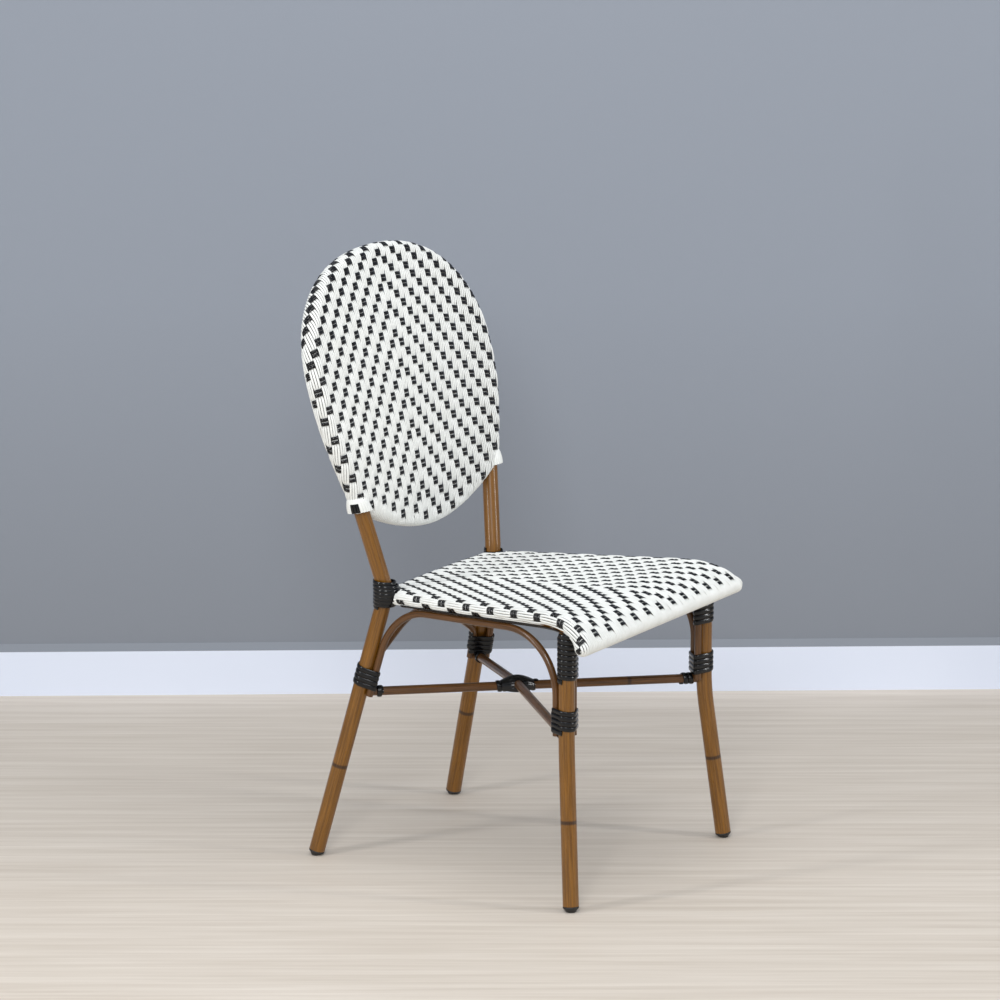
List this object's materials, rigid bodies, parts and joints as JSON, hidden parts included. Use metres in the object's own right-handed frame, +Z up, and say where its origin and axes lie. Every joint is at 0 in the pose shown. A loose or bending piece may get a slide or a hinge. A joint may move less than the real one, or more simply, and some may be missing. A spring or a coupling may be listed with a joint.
{
  "type": "bistro chair",
  "caption": "Side chair of bent bamboo-look tube with splayed legs, under-seat arches, crossed stretchers, a woven waterfall seat and an oval woven back.",
  "frame": {"origin": "on the floor, under the middle of the chair's width and depth", "axes": "+X towards the sitter's left, -Y the way the chair faces, +Z up"},
  "size_m": [0.4882, 0.5648, 0.9431],
  "materials": {
    "bamboo_tube": "glossy bamboo-look lacquer with dark node rings",
    "dark_tube": "glossy darker bamboo-look lacquer",
    "strand": "glossy flat resin strand",
    "weave": "satin resin strand, woven in white with black crossing strands",
    "glide": "matt moulded"
  },
  "bodies": {
    "root": {"front_leg_left": "bamboo_tube", "front_leg_right": "bamboo_tube", "rear_leg_left": "bamboo_tube", "rear_leg_right": "bamboo_tube", "back_hoop": "bamboo_tube", "back_lower_rail": "bamboo_tube", "seat_rail_left": "bamboo_tube", "seat_rail_right": "bamboo_tube", "seat_rail_front": "bamboo_tube", "seat_rail_rear": "bamboo_tube", "side_arch_left": "dark_tube", "side_arch_right": "dark_tube", "front_arch": "dark_tube", "rear_arch": "dark_tube", "stretcher_upper": "dark_tube", "stretcher_lower": "dark_tube", "foot_glide_front_left": "glide", "foot_glide_front_right": "glide", "foot_glide_rear_left": "glide", "foot_glide_rear_right": "glide", "back_weave": "weave", "back_rim_weave": "weave", "seat_weave": "weave", "seat_rim_weave": "weave", "front_leg_binding_left": "strand", "low_binding_front_left": "strand", "low_binding_rear_left": "strand", "seat_binding_left": "strand", "front_leg_binding_right": "strand", "low_binding_front_right": "strand", "low_binding_rear_right": "strand", "seat_binding_right": "strand", "stretcher_binding_front_left": "strand", "stretcher_binding_front_right": "strand", "stretcher_binding_rear_left": "strand", "stretcher_binding_rear_right": "strand", "stretcher_crossing_binding": "strand"}
  },
  "joints": []
}
